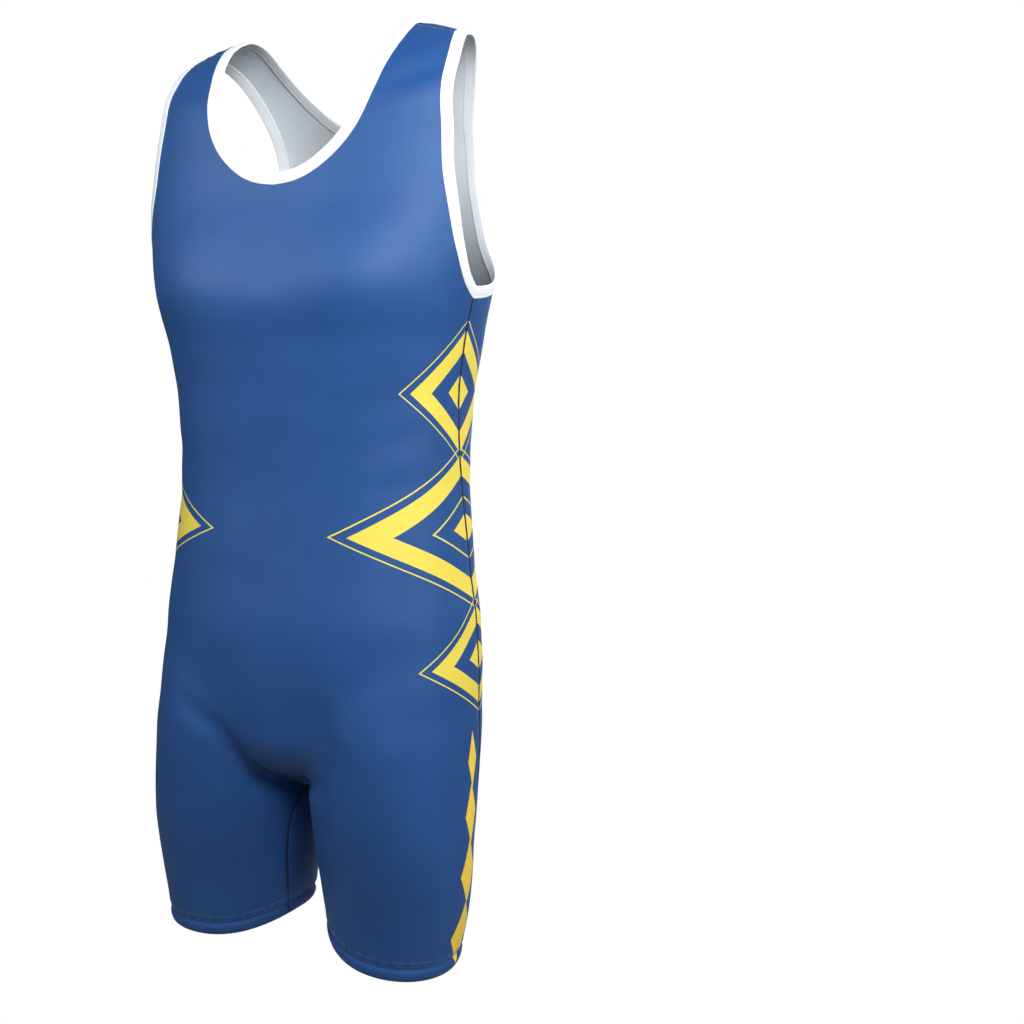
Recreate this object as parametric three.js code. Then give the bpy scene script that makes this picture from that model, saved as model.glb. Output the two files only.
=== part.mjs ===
// Athletic singlet: a sleeveless one-piece in stretch knit with mid-thigh legs, standing out as it does
// when worn, with nothing inside it. Millimetres, +Z up, front faces -Y, the wearer's left is +X.
// The origin is midway between the two shoulders, at the height of the neck edge there.
//
// The panels lie on one smooth figure, given as cross-sections of torso and leg, and each piece of
// cloth is a wall made from points of that figure moved out and in along its normals.

import * as THREE from "three";

// ---- Cloth and seams ----
const CLOTH = 1.2; // wall of a panel and of a turned hem
const TAPE = 1.0; // wall of the binding tape
const GAP = 0.3; // between pieces, at seams and under the binding
const BINDING = 9.7; // how far the tape reaches over the panel, from its raw edge
const HEM_DEPTH = 19; // height of the turned hem
const HEM_FOLD = 1.5; // the panel ends this far above the fold

// ---- Heights on the garment ----
const ARMPIT = -252; // where the armhole binding crosses the side seam
const SEAT = -640; // below here the rows close up towards the fork
const FORK = -736; // where the inseam passes between the legs
const LEG_TOP = -780;
const LEG_END = -893; // at the outer side of the leg
const HEM_RISE = 19; // how much higher the leg ends on its inner side

// ---- The figure: cross-sections, each a rounded oval about the vertical line through x = 0 or a leg ----
// half: half the width. middle: y where it is widest. front, back: reach from there. corner: 2 is an
// ellipse, more is squarer.
const torsoSections = [
  { z: 20, half: 176, middle: 0, front: 76, back: 122, corner: 2.6 },
  { z: -75, half: 176, middle: 0, front: 85, back: 126, corner: 2.6 },
  { z: -120, half: 180, middle: 0, front: 92, back: 126, corner: 2.6 },
  { z: -160, half: 179, middle: 0, front: 99, back: 123, corner: 2.7 },
  { z: -200, half: 171, middle: 0, front: 113, back: 119, corner: 2.7 },
  { z: -250, half: 160, middle: 3, front: 130, back: 111, corner: 2.7 },
  { z: -300, half: 150, middle: 10, front: 130, back: 100, corner: 2.7 },
  { z: -350, half: 143, middle: 12, front: 125, back: 92, corner: 2.7 },
  { z: -430, half: 142, middle: 13, front: 121, back: 86, corner: 2.7 },
  { z: -500, half: 148, middle: 9, front: 121, back: 92, corner: 2.7 },
  { z: -570, half: 156, middle: 5, front: 123, back: 104, corner: 2.6 },
  { z: -640, half: 148, middle: 2, front: 114, back: 112, corner: 2.3 },
  { z: -685, half: 102, middle: 0, front: 100, back: 100, corner: 2.0 },
  { z: -712, half: 52, middle: -8, front: 64, back: 76, corner: 2.0 },
  { z: -726, half: 12, middle: -20, front: 20, back: 34, corner: 2.0 },
];
const TORSO_END = -722; // the torso closes below this height

// inner, outer: reach from x = 0. middle: y of the leg's centre. depth: half its depth.
// slant: how much farther out the front of the leg is than its middle.
const legSections = [
  { z: -510, inner: 60, outer: 100, middle: 0, depth: 30, slant: 0 },
  { z: -580, inner: 24, outer: 150, middle: -4, depth: 86, slant: 0 },
  { z: -650, inner: 9, outer: 163, middle: -7, depth: 105, slant: 0 },
  { z: -710, inner: 6, outer: 167, middle: -10, depth: 100, slant: 4 },
  { z: -770, inner: 8, outer: 168, middle: -13, depth: 88, slant: 9 },
  { z: -830, inner: 14, outer: 166, middle: -10, depth: 77, slant: 10 },
  { z: LEG_END, inner: 23, outer: 156, middle: -9, depth: 69, slant: 10 },
];
const LEG_CORNER = 2.1;

// y of the side seam and of the inseam
const sideSeam = [
  { z: -240, y: -12 },
  { z: -320, y: -6 },
  { z: -380, y: 6 },
  { z: -440, y: 20 },
  { z: -500, y: 26 },
  { z: -580, y: 26 },
  { z: -700, y: 22 },
  { z: LEG_END, y: 14 },
];
const inseam = [
  { z: FORK, y: -20 },
  { z: -755, y: -43 },
  { z: -785, y: -52 },
  { z: -840, y: -48 },
  { z: LEG_END, y: -40 },
];

// The shoulder is a rounded ridge along X that drops towards the arm, rounder to the front than behind.
const SHOULDER = { y: 16, top: 3, frontRadius: 58, backRadius: 44, drop: 0.36, dropFrom: 104, dropBlend: 12 };
const BLEND_LEG = 8; // how softly torso and leg run together
const BLEND_SHOULDER = 11;

// Soft swells, in pairs either side of x = 0. side: -1 front, 1 back.
const swells = [
  { x: 80, z: -222, width: 56, height: 42, side: -1, rise: 6 },
  { x: 64, z: -620, width: 52, height: 45, side: 1, rise: 7 },
  { x: 88, z: -150, width: 55, height: 60, side: 1, rise: 4 },
];
const SWELL_BLEND = 12; // how softly a swell ends at y = 0

// The inner axis that the rows are drawn round: up the spine, and down each leg below the pelvis
const AXIS = { top: -240, y: 8, legX: 84, leaves: -540, arrives: -725 };
const FARTHEST = 420; // no part of the figure is farther than this from its axis

// ---- Edges where the binding meets the panel, from the shoulder down; +X half ----
const frontNeck = [
  { x: 98, y: -4, z: 0 },
  { x: 97, y: -27, z: -18 },
  { x: 91, y: -58, z: -49 },
  { x: 85, y: -78, z: -80 },
  { x: 76, y: -84, z: -102 },
  { x: 62, y: -88, z: -122 },
  { x: 42, y: -91, z: -140 },
  { x: 22, y: -93, z: -150 },
  { x: 0, y: -94, z: -153 },
];
const backNeck = [
  { x: 98, y: -4, z: 0 },
  { x: 96, y: 30, z: 0 },
  { x: 88, y: 61, z: -22 },
  { x: 75, y: 78, z: -43 },
  { x: 57, y: 91, z: -63 },
  { x: 40, y: 99, z: -77 },
  { x: 20, y: 104, z: -87 },
  { x: 0, y: 105, z: -91 },
];
const frontArmhole = [
  { x: 136, y: -4, z: -12 },
  { x: 142, y: -28, z: -29 },
  { x: 147, y: -54, z: -62 },
  { x: 149, y: -61, z: -105 },
  { x: 155, y: -66, z: -150 },
  { x: 161, y: -60, z: -198 },
  { x: 163, y: -40, z: -233 },
  { x: 162, y: -12, z: ARMPIT },
];
const backArmhole = [
  { x: 136, y: -4, z: -12 },
  { x: 131, y: 29, z: -10 },
  { x: 118, y: 63, z: -32 },
  { x: 105, y: 96, z: -76 },
  { x: 103, y: 112, z: -114 },
  { x: 105, y: 115, z: -144 },
  { x: 116, y: 107, z: -182 },
  { x: 133, y: 88, z: -216 },
  { x: 152, y: 46, z: -244 },
  { x: 162, y: -12, z: ARMPIT },
];

// ---- How finely the cloth is faceted ----
const COLUMNS = 8; // from the middle of a panel to its side seam
const FRONT = -1;
const BACK = 1;
const STEPS = { [FRONT]: { neck: 10, armhole: 13 }, [BACK]: { neck: 8, armhole: 17 } };

const colours = { blue: 0x27477f, white: 0xf4f4f2 };

// ---------------------------------------------------------------- the figure

// A smooth curve through the rows of a table, read at height z
function tableAt(rows, z) {
  const last = rows.length - 1;
  const height = Math.min(Math.max(z, rows[last].z), rows[0].z);
  let i = 0;
  while (i < last - 1 && height < rows[i + 1].z) i += 1;
  const span = rows[i + 1].z - rows[i].z;
  const t = (height - rows[i].z) / span;
  const result = {};
  for (const column of Object.keys(rows[0])) {
    const slope = (k) => {
      const above = rows[Math.max(k - 1, 0)];
      const below = rows[Math.min(k + 1, last)];
      return (below[column] - above[column]) / (below.z - above.z);
    };
    result[column] =
      (2 * t ** 3 - 3 * t ** 2 + 1) * rows[i][column] +
      (t ** 3 - 2 * t ** 2 + t) * span * slope(i) +
      (3 * t ** 2 - 2 * t ** 3) * rows[i + 1][column] +
      (t ** 3 - t ** 2) * span * slope(i + 1);
  }
  return result;
}

// The lesser of a and b, rounded off where they meet
function smoothMin(a, b, blend) {
  return (a + b - Math.hypot(a - b, blend)) / 2;
}

function smoothMax(a, b, blend) {
  return -smoothMin(-a, -b, blend);
}

// How far outside a rounded oval a point is, below zero inside
function oval(x, y, half, depth, corner) {
  const reach = ((Math.abs(x) / half) ** corner + (Math.abs(y) / depth) ** corner) ** (1 / corner);
  return (reach - 1) * Math.min(half, depth);
}

// How far outside the figure a point is, below zero inside
function outside(p) {
  const x = Math.abs(p.x);
  const torso = tableAt(torsoSections, p.z);
  const torsoY = p.y - torso.middle;
  const torsoDepth = torsoY < 0 ? torso.front : torso.back;
  const pastEnd = Math.max(0, TORSO_END - p.z);
  const trunk = oval(x, torsoY, torso.half, torsoDepth, torso.corner) + pastEnd;

  const leg = tableAt(legSections, p.z);
  const legY = p.y - leg.middle;
  const legX = (leg.inner + leg.outer) / 2 - (leg.slant * legY) / leg.depth;
  const thigh = oval(x - legX, legY, (leg.outer - leg.inner) / 2, leg.depth, LEG_CORNER);

  const fall =
    SHOULDER.drop * SHOULDER.dropBlend * Math.log1p(Math.exp((x - SHOULDER.dropFrom) / SHOULDER.dropBlend));
  const dy = p.y - SHOULDER.y;
  const radius = dy < 0 ? SHOULDER.frontRadius : SHOULDER.backRadius;
  const ridge = (p.z - SHOULDER.top + fall + dy ** 2 / (2 * radius)) / Math.hypot(1, dy / radius);

  let distance = smoothMax(smoothMin(trunk, thigh, BLEND_LEG), ridge, BLEND_SHOULDER);
  for (const s of swells) {
    const bump = Math.exp(-(((x - s.x) / s.width) ** 2) - ((p.z - s.z) / s.height) ** 2);
    distance -= (s.rise * bump) / (1 + Math.exp((-s.side * p.y) / SWELL_BLEND));
  }
  return distance;
}

function normalAt(p) {
  const step = 0.5;
  const slope = (dx, dy, dz) => {
    const d = new THREE.Vector3(dx, dy, dz).multiplyScalar(step);
    return outside(p.clone().add(d)) - outside(p.clone().sub(d));
  };
  return new THREE.Vector3(slope(1, 0, 0), slope(0, 1, 0), slope(0, 0, 1)).normalize();
}

// Narrows down where test(t) changes from true to false between t = near and t = far
function crossing(test, near, far) {
  let inside = near;
  let beyond = far;
  for (let i = 0; i < 40; i += 1) {
    const middle = (inside + beyond) / 2;
    if (test(middle)) inside = middle;
    else beyond = middle;
  }
  return (inside + beyond) / 2;
}

function axisAt(z) {
  const t = THREE.MathUtils.smoothstep(-z, -AXIS.leaves, -AXIS.arrives);
  return new THREE.Vector3(t * AXIS.legX, AXIS.y, Math.min(z, AXIS.top));
}

// The point of the figure straight out from the inner axis past the target, and not over x = 0
function onFigure(target) {
  const start = axisAt(target.z);
  const way = target.clone().sub(start).normalize();
  const toMiddle = start.x > 0 && way.x < 0 ? -start.x / way.x : FARTHEST;
  const reach = crossing((t) => outside(start.clone().addScaledVector(way, t)) < 0, 0, toMiddle);
  return start.addScaledVector(way, reach);
}

// ---------------------------------------------------------------- lines on the figure

// Shares out count + 1 points at even distances along a chain of points, back on the figure
function spacedEvenly(chain, count) {
  const lengths = [0];
  for (let i = 1; i < chain.length; i += 1) {
    lengths.push(lengths[i - 1] + chain[i].distanceTo(chain[i - 1]));
  }
  const total = lengths[lengths.length - 1];
  const points = [chain[0].clone()];
  let i = 1;
  for (let k = 1; k < count; k += 1) {
    const wanted = (total * k) / count;
    while (lengths[i] < wanted) i += 1;
    const t = (wanted - lengths[i - 1]) / (lengths[i] - lengths[i - 1]);
    points.push(onFigure(chain[i - 1].clone().lerp(chain[i], t)));
  }
  points.push(chain[chain.length - 1].clone());
  return points;
}

function edgeLine(rows, count) {
  const places = rows.map((row) => new THREE.Vector3(row.x, row.y, row.z));
  const curve = new THREE.CatmullRomCurve3(places, false, "centripetal");
  return spacedEvenly(curve.getPoints(rows.length * 8).map(onFigure), count);
}

// A point of a leg moved up, so that the leg's end slopes
function lifted(p) {
  if (p.z >= LEG_TOP) return p;
  const leg = tableAt(legSections, p.z);
  const inwards = THREE.MathUtils.clamp((leg.outer - p.x) / (leg.outer - leg.inner), 0, 1);
  const share = THREE.MathUtils.smoothstep(-p.z, -LEG_TOP, -LEG_END - HEM_DEPTH);
  return onFigure(new THREE.Vector3(p.x, p.y, p.z + HEM_RISE * inwards ** 4 * share));
}

// One row of a panel at height z, from its middle line, or from the inseam, to the side seam
function bodyRow(z, side) {
  const seamY = tableAt(sideSeam, z).y;
  const end = onFigure(new THREE.Vector3(AXIS.legX * 2, seamY, z));
  const forkY = inseam[0].y;
  let start;
  if (z > FORK) {
    const y = crossing((t) => outside(new THREE.Vector3(0, t, z)) < 0, forkY, side * 220);
    start = new THREE.Vector3(0, y, z);
  } else if (z === FORK) {
    const lowest = crossing((t) => outside(new THREE.Vector3(0, forkY, t)) < 0, SEAT, LEG_TOP);
    start = new THREE.Vector3(0, forkY, lowest);
  } else {
    start = onFigure(new THREE.Vector3(0, tableAt(inseam, z).y, z));
  }
  const axis = axisAt(z);
  const turn = (p) => Math.atan2(p.x - axis.x, side * (p.y - axis.y));
  const samples = 48;
  const chain = [start];
  for (let k = 1; k < samples; k += 1) {
    const angle = THREE.MathUtils.lerp(turn(start), turn(end), k / samples);
    chain.push(
      onFigure(new THREE.Vector3(axis.x + 60 * Math.sin(angle), axis.y + side * 60 * Math.cos(angle), z)),
    );
  }
  chain.push(end);
  return spacedEvenly(chain, COLUMNS).map(lifted);
}

// Heights of the rows: even down to the seat, closing up towards the fork, then even down the leg
function rowHeights() {
  const heights = [];
  const down = (from, to, steps, ease) => {
    for (let k = 0; k < steps; k += 1) heights.push(from + (to - from) * ease(k / steps));
  };
  down(ARMPIT, SEAT, 12, (t) => t);
  down(SEAT, FORK, 5, (t) => 1 - (1 - t) ** 2);
  down(FORK, LEG_TOP, 3, (t) => t ** 2);
  down(LEG_TOP, LEG_END + HEM_DEPTH, 3, (t) => t);
  heights.push(LEG_END + HEM_DEPTH, LEG_END + HEM_FOLD);
  return heights;
}

// The raw edge of a panel beside each point of its binding line. way is +1 or -1, to the open side.
function rawEdge(line, before, after, way) {
  return line.map((p, i) => {
    const along = (line[i + 1] ?? after).clone().sub(line[i - 1] ?? before);
    const across = normalAt(p).cross(along).normalize().multiplyScalar(way * BINDING);
    return onFigure(p.clone().add(across));
  });
}

function mirrored(p) {
  return new THREE.Vector3(-p.x, p.y, p.z);
}

// ---------------------------------------------------------------- the +X half of the garment

const heights = rowHeights();
const body = { [FRONT]: [], [BACK]: [] };
for (const z of heights) {
  for (const side of [FRONT, BACK]) body[side].push(bodyRow(z, side));
}

const neck = {};
const armhole = {};
for (const side of [FRONT, BACK]) {
  neck[side] = edgeLine(side === FRONT ? frontNeck : backNeck, STEPS[side].neck);
  armhole[side] = edgeLine(side === FRONT ? frontArmhole : backArmhole, STEPS[side].armhole);
  armhole[side][STEPS[side].armhole] = body[side][0][COLUMNS].clone();
}

const neckRaw = {};
const armholeRaw = {};
for (const side of [FRONT, BACK]) {
  const pastMiddle = mirrored(neck[side][STEPS[side].neck - 1]);
  neckRaw[side] = rawEdge(neck[side], neck[-side][1], pastMiddle, side);
  const pastArmpit = armhole[-side][STEPS[-side].armhole - 1];
  armholeRaw[side] = rawEdge(armhole[side], armhole[-side][1], pastArmpit, -side);
}

// Rows across the upper part of a panel, from the shoulder seam down to the top row of the body.
// They start on the neck line, and below it on the middle line, and end on the armhole line.
function yokeRows(side) {
  const steps = STEPS[side];
  const lowest = neck[side][steps.neck];
  const rows = armhole[side].slice(0, steps.armhole).map((to, i) => {
    const down = (i - steps.neck) / (steps.armhole - steps.neck);
    const from = down <= 0 ? neck[side][i] : onFigure(lowest.clone().lerp(body[side][0][0], down));
    const samples = 24;
    const chain = [from];
    for (let k = 1; k < samples; k += 1) chain.push(onFigure(from.clone().lerp(to, k / samples)));
    return spacedEvenly([...chain, to], COLUMNS);
  });
  return [...rows, body[side][0]];
}

// ---------------------------------------------------------------- making solids

function solidMesh(name, points, triangles, colour) {
  const geometry = new THREE.BufferGeometry();
  const places = points.flatMap((p) => [p.x, p.y, p.z]);
  geometry.setAttribute("position", new THREE.Float32BufferAttribute(places, 3));
  let volume = 0;
  for (const [a, b, c] of triangles) volume += points[a].dot(points[b].clone().cross(points[c]));
  const facingOut = volume > 0 ? triangles : triangles.map(([a, b, c]) => [a, c, b]);
  geometry.setIndex(facingOut.flat());
  geometry.computeVertexNormals();
  const material = new THREE.MeshStandardMaterial({ color: colour, roughness: 0.7, metalness: 0 });
  const mesh = new THREE.Mesh(geometry, material);
  mesh.name = name;
  return mesh;
}

// Splits a four-sided cell along its outer diagonal, so that layers of cloth fold along the same lines
function split([a, b, c, d], points) {
  const ridge = points[a].clone().add(points[c]).sub(points[b]).sub(points[d]);
  return ridge.dot(normalAt(points[a])) > 0 ? [[a, b, c], [a, c, d]] : [[b, c, d], [b, d, a]];
}

// A wall of cloth on a set of four-sided cells that share corners
class Wall {
  constructor() {
    this.points = [];
    this.normals = [];
    this.cells = [];
    this.known = new Map();
  }

  corner(point, flip) {
    const p = flip ? mirrored(point) : point;
    const key = [p.x, p.y, p.z].map((v) => (v + 0).toFixed(3).replace("-0.000", "0.000")).join(" ");
    if (!this.known.has(key)) {
      this.known.set(key, this.points.length);
      this.points.push(p.clone());
      this.normals.push(normalAt(p));
    }
    return this.known.get(key);
  }

  cell(corners, flip) {
    const ids = corners.map((p) => this.corner(p, flip));
    const [a, b, c, d] = ids.map((i) => this.points[i]);
    const facing = c.clone().sub(a).cross(d.clone().sub(b));
    this.cells.push(facing.dot(this.normals[ids[0]]) > 0 ? ids : ids.reverse());
  }

  // Fills in the cells between rows of points, and the same on the other half of the garment
  grid(rows) {
    for (let r = 1; r < rows.length; r += 1) {
      for (let c = 1; c < rows[r].length; c += 1) {
        const corners = [rows[r - 1][c - 1], rows[r][c - 1], rows[r][c], rows[r - 1][c]];
        this.cell(corners, false);
        this.cell(corners, true);
      }
    }
  }

  mesh(name, thickness, colour) {
    const count = this.points.length;
    const moved = (d) => this.points.map((p, i) => p.clone().addScaledVector(this.normals[i], d));
    const points = [...moved(thickness / 2), ...moved(-thickness / 2)];
    const triangles = [];
    const edges = new Map();
    for (const cell of this.cells) {
      const [a, b, c, d] = cell;
      for (const [i, j, k] of split(cell, this.points)) {
        triangles.push([i, j, k], [i + count, k + count, j + count]);
      }
      for (const [from, to] of [[a, b], [b, c], [c, d], [d, a]]) {
        if (edges.has(`${to} ${from}`)) edges.delete(`${to} ${from}`);
        else edges.set(`${from} ${to}`, [from, to]);
      }
    }
    for (const [from, to] of edges.values()) {
      triangles.push([to, from, from + count], [to, from + count, to + count]);
    }
    return solidMesh(name, points, triangles, colour);
  }
}

// A closed ring swept through sections that all have the same number of points
function ringMesh(name, sections, colour) {
  const size = sections[0].length;
  const points = sections.flat();
  const triangles = [];
  for (let s = 0; s < sections.length; s += 1) {
    const next = (s + 1) % sections.length;
    for (let k = 0; k < size; k += 1) {
      const l = (k + 1) % size;
      triangles.push(...split([s * size + k, s * size + l, next * size + l, next * size + k], points));
    }
  }
  return solidMesh(name, points, triangles, colour);
}

// ---------------------------------------------------------------- the pieces

// A panel stops half the gap short of each seam line. The figure is crossed towards -Y at every seam by
// the front panel, and towards +Y by the back panel.
function panel(side) {
  const apart = (p) => {
    const across = new THREE.Vector3(0, side, 0).projectOnPlane(normalAt(p)).setLength(GAP / 2);
    return p.clone().add(across);
  };
  const seamRow = (row, i) => (i === 0 ? row.map(apart) : row);
  const bodyRows = body[side].map((row, i) => {
    const copy = [...row];
    copy[COLUMNS] = apart(row[COLUMNS]);
    if (heights[i] <= FORK) copy[0] = apart(row[0]);
    return copy;
  });
  const yoke = [...yokeRows(side).map(seamRow).slice(0, -1), bodyRows[0]];
  const neckStrip = neck[side].map((p, i) => [neckRaw[side][i], p]).map(seamRow);
  const armStrip = armhole[side].map((p, i) => [p, armholeRaw[side][i]]).map(seamRow);
  armStrip.push(armStrip.pop().map(apart));

  const wall = new Wall();
  for (const rows of [bodyRows, yoke, neckStrip, armStrip]) wall.grid(rows);
  return wall;
}

// Tape folded over a raw edge, cut across: up one face of the panel, over its edge and down the other
function tapeSection(line, raw) {
  const under = CLOTH / 2 + GAP;
  const over = under + TAPE;
  const lineNormal = normalAt(line);
  const rawNormal = normalAt(raw);
  const out = raw.clone().sub(line).normalize();
  const atLine = (d) => line.clone().addScaledVector(lineNormal, d);
  const atRaw = (d, beyond) => raw.clone().addScaledVector(rawNormal, d).addScaledVector(out, beyond);
  return [
    atLine(over),
    atRaw(over, 0),
    atRaw(over / 2, GAP + TAPE),
    atRaw(-over / 2, GAP + TAPE),
    atRaw(-over, 0),
    atLine(-over),
    atLine(-under),
    atRaw(-under, GAP),
    atRaw(under, GAP),
    atLine(under),
  ];
}

function binding(name, lines, raws) {
  return ringMesh(name, lines.map((p, i) => tapeSection(p, raws[i])), colours.white);
}

// The half loop from the middle of the front over the shoulder to the middle of the back
function overShoulder(parts) {
  return [...parts[FRONT].slice(1).reverse(), ...parts[BACK]];
}

function neckBinding() {
  const whole = (half) => [...half, ...half.slice(1, -1).reverse().map(mirrored)];
  return binding("neck_binding", whole(overShoulder(neck)), whole(overShoulder(neckRaw)));
}

function armholeBinding(name, flip) {
  const lines = overShoulder(armhole).slice(1);
  const raws = overShoulder(armholeRaw).slice(1);
  return binding(name, flip ? lines.map(mirrored) : lines, flip ? raws.map(mirrored) : raws);
}

// The leg end turned inwards: a band inside the panels that closes under their lower edge
function legHem(name, flip) {
  const ring = (row) => [...body[FRONT][row], ...body[BACK][row].slice(1, -1).reverse()];
  const top = ring(heights.length - 2);
  const bottom = ring(heights.length - 1);
  const outer = CLOTH / 2;
  const near = -outer - GAP;
  const far = near - CLOTH;
  const sections = top.map((high, i) => {
    const low = bottom[i];
    const lowNormal = normalAt(low).setZ(0).normalize();
    const atHigh = (d) => high.clone().addScaledVector(normalAt(high), d);
    const fold = low.z - HEM_FOLD;
    const atLow = (d, z) => low.clone().addScaledVector(lowNormal, d).setZ(z);
    const section = [
      atHigh(far),
      atHigh(near),
      atLow(near, fold + CLOTH),
      atLow(outer, fold + CLOTH),
      atLow(outer - CLOTH / 2, fold),
      atLow(far, fold),
    ];
    return flip ? section.map(mirrored) : section;
  });
  return ringMesh(name, sections, colours.blue);
}

const singlet = new THREE.Group();
singlet.add(
  panel(FRONT).mesh("front_panel", CLOTH, colours.blue),
  panel(BACK).mesh("back_panel", CLOTH, colours.blue),
  neckBinding(),
  armholeBinding("left_armhole_binding", false),
  armholeBinding("right_armhole_binding", true),
  legHem("left_leg_hem", false),
  legHem("right_leg_hem", true),
);

export default singlet;
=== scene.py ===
"""Athletic singlet: fine stretch-knit cloth, bindings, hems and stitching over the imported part.

Sizes are in millimetres until a mesh is made. The figure is the same one the part's source is built on.
"""
import math

import bpy
import numpy as np
from mathutils import Matrix, Vector


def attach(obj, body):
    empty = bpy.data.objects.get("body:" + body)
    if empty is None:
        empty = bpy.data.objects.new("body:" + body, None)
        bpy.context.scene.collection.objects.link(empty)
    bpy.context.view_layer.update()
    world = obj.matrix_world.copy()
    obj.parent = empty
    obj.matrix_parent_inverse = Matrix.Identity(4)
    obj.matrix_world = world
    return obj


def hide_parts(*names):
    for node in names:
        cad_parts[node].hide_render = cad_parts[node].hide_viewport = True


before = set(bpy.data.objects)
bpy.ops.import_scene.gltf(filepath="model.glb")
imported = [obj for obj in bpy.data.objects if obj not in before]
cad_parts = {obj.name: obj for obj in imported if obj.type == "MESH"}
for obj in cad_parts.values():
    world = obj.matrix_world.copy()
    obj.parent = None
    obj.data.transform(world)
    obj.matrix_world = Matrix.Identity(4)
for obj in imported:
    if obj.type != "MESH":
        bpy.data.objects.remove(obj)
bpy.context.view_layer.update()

# ------------------------------------------------------------------ sizes
CLOTH = 0.9
BINDING = 9.7  # how far the tape reaches over the cloth
TURN = 6.283  # once round, in radians
HEM_DEPTH = 19.0
HEM_FOLD = 1.5
ARMPIT, SEAT, FORK, LEG_TOP, LEG_END = -252.0, -640.0, -736.0, -780.0, -893.0
HEM_RISE = 19.0  # how much higher a leg ends on its inner side
FRONT, BACK = -1, 1

# z, half width, middle y, reach to the front and to the back from there, corner
TORSO = np.array(
    [
        (20, 176, 0, 76, 122, 2.6),
        (-75, 176, 0, 85, 126, 2.6),
        (-120, 180, 0, 92, 126, 2.6),
        (-160, 179, 0, 99, 123, 2.7),
        (-200, 171, 0, 113, 119, 2.7),
        (-250, 160, 3, 130, 111, 2.7),
        (-300, 150, 10, 130, 100, 2.7),
        (-350, 143, 12, 125, 92, 2.7),
        (-430, 142, 13, 121, 86, 2.7),
        (-500, 148, 9, 121, 92, 2.7),
        (-570, 156, 5, 123, 104, 2.6),
        (-640, 148, 2, 114, 112, 2.3),
        (-685, 102, 0, 100, 100, 2.0),
        (-712, 52, -8, 64, 76, 2.0),
        (-726, 12, -20, 20, 34, 2.0),
    ],
    float,
)
TORSO_END = -722.0
# z, inner, outer, middle y, half depth, how much farther out the front is than the middle
LEG = np.array(
    [
        (-510, 60, 100, 0, 30, 0),
        (-580, 24, 150, -4, 86, 0),
        (-650, 9, 163, -7, 105, 0),
        (-710, 6, 167, -10, 100, 4),
        (-770, 8, 168, -13, 88, 9),
        (-830, 14, 166, -10, 77, 10),
        (-893, 23, 156, -9, 69, 10),
    ],
    float,
)
LEG_CORNER = 2.1
# z, y
SIDE_SEAM = np.array(
    [(-240, -12), (-320, -6), (-380, 6), (-440, 20), (-500, 26), (-580, 26), (-700, 22), (-893, 14)],
    float,
)
INSEAM = np.array([(-736, -20), (-755, -43), (-785, -52), (-840, -48), (-893, -40)], float)
SHOULDER_Y, SHOULDER_TOP, SHOULDER_FRONT_R, SHOULDER_BACK_R = 16.0, 3.0, 58.0, 44.0
# The shoulder's fall to the outer side: its slope, where it starts, and how softly
DROP, DROP_FROM, DROP_BLEND = 0.36, 104.0, 12.0
BLEND_LEG, BLEND_SHOULDER = 8.0, 11.0
# x, z, width, height, side, rise
SWELLS = [(80, -222, 56, 42, -1, 6), (64, -620, 52, 45, 1, 7), (88, -150, 55, 60, 1, 4)]
SWELL_BLEND = 12  # how softly a swell on the front or back ends at the side
# The axis that rows of points are spread around: its top, how far back it stands, where it stands in a leg,
# and the heights where it leaves the middle and arrives in the leg
AXIS_TOP, AXIS_Y, AXIS_LEG_X, AXIS_LEAVES, AXIS_ARRIVES = -240.0, 8.0, 84.0, -540.0, -725.0

# x, y, z of the lines where the tape meets the panel, from the shoulder down
NECK = {
    FRONT: [(98, -4, 0), (97, -27, -18), (91, -58, -49), (85, -78, -80), (76, -84, -102), (62, -88, -122),
            (42, -91, -140), (22, -93, -150), (0, -94, -153)],
    BACK: [(98, -4, 0), (96, 30, 0), (88, 61, -22), (75, 78, -43), (57, 91, -63), (40, 99, -77),
           (20, 104, -87), (0, 105, -91)],
}
ARMHOLE = {
    FRONT: [(136, -4, -12), (142, -28, -29), (147, -54, -62), (149, -61, -105), (155, -66, -150),
            (161, -60, -198), (163, -40, -233), (162, -12, ARMPIT)],
    BACK: [(136, -4, -12), (131, 29, -10), (118, 63, -32), (105, 96, -76), (103, 112, -114), (105, 115, -144),
           (116, 107, -182), (133, 88, -216), (152, 46, -244), (162, -12, ARMPIT)],
}

MIRROR = np.array([-1.0, 1.0, 1.0])
WEARER_SIDES = ((np.ones(3), "left"), (MIRROR, "right"))
COLUMNS = 52
YOKE = {FRONT: (44, 58), BACK: (36, 78)}  # rows along the neck, rows along the armhole


# ------------------------------------------------------------------ the figure
def unit(v):
    return v / np.linalg.norm(v, axis=-1, keepdims=True)


def hermite(s, span, start, leaving, end, arriving):
    """A cubic from start to end over a span, with the slopes it leaves and arrives at."""
    return (
        (2 * s**3 - 3 * s**2 + 1) * start
        + (s**3 - 2 * s**2 + s) * span * leaving
        + (3 * s**2 - 2 * s**3) * end
        + (s**3 - s**2) * span * arriving
    )


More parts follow.
